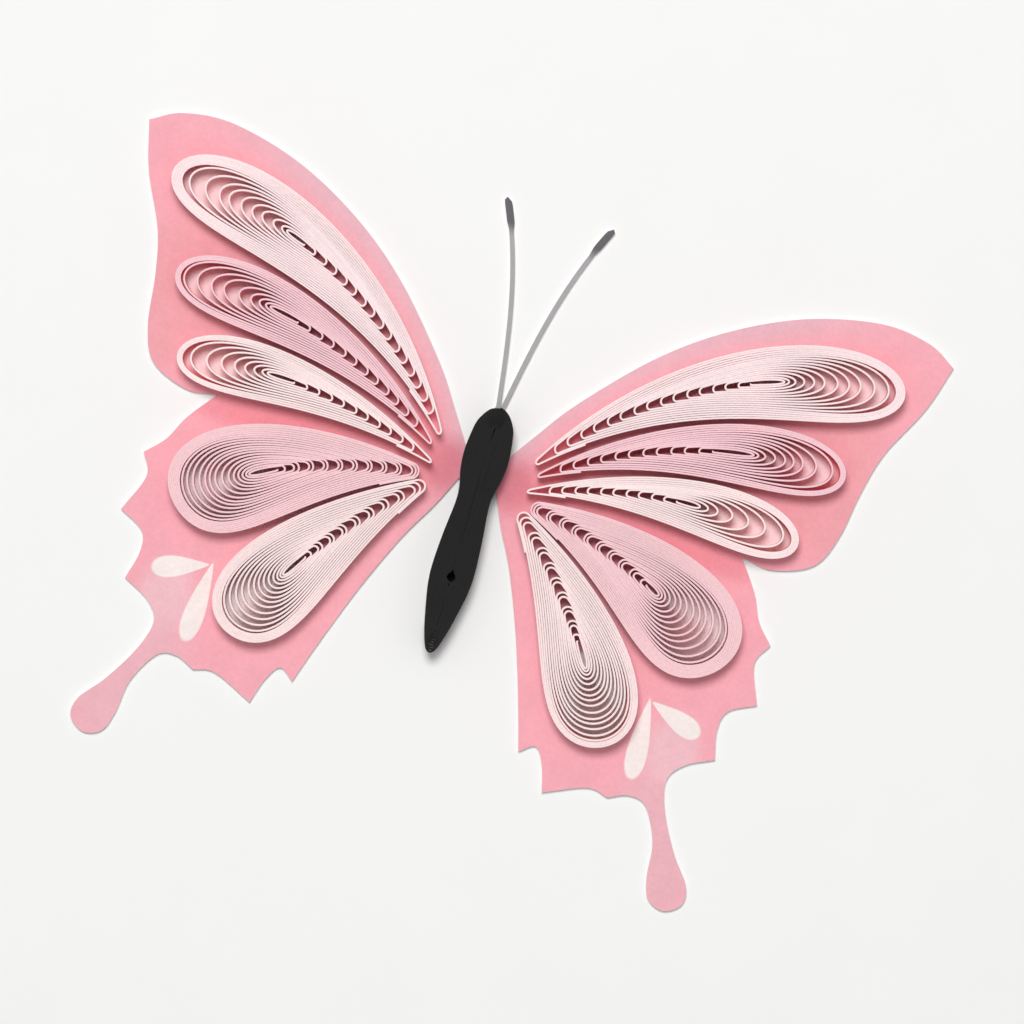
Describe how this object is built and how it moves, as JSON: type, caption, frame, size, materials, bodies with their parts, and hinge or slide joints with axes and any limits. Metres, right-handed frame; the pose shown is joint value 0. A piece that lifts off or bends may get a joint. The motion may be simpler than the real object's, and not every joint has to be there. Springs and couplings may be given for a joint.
{
  "type": "quilled paper butterfly",
  "caption": "Flat quilled paper butterfly: drop-shaped paper coils stand on a printed card cut to wings and antennae, with a long dark coil as the body; a decoration to glue down.",
  "frame": {"origin": "on the back of the card, on the middle line, at the level where the wings meet the body", "axes": "+X to the right wings as seen from the front, +Y towards the head, +Z out of the front of the card"},
  "size_m": [0.0522, 0.0395, 0.0018],
  "materials": {
    "printed_card": "matt print",
    "pale_pink_strip": "matt",
    "pink_strip": "matt",
    "black_strip": "matt"
  },
  "bodies": {
    "root": {"wing_card": "printed_card", "right_fore_upper_coil": "pale_pink_strip", "right_fore_middle_coil": "pink_strip", "right_fore_lower_coil": "pale_pink_strip", "right_hind_upper_coil": "pink_strip", "right_hind_lower_coil": "pale_pink_strip", "left_fore_upper_coil": "pale_pink_strip", "left_fore_middle_coil": "pink_strip", "left_fore_lower_coil": "pale_pink_strip", "left_hind_upper_coil": "pink_strip", "left_hind_lower_coil": "pale_pink_strip", "body": "black_strip"}
  },
  "joints": []
}
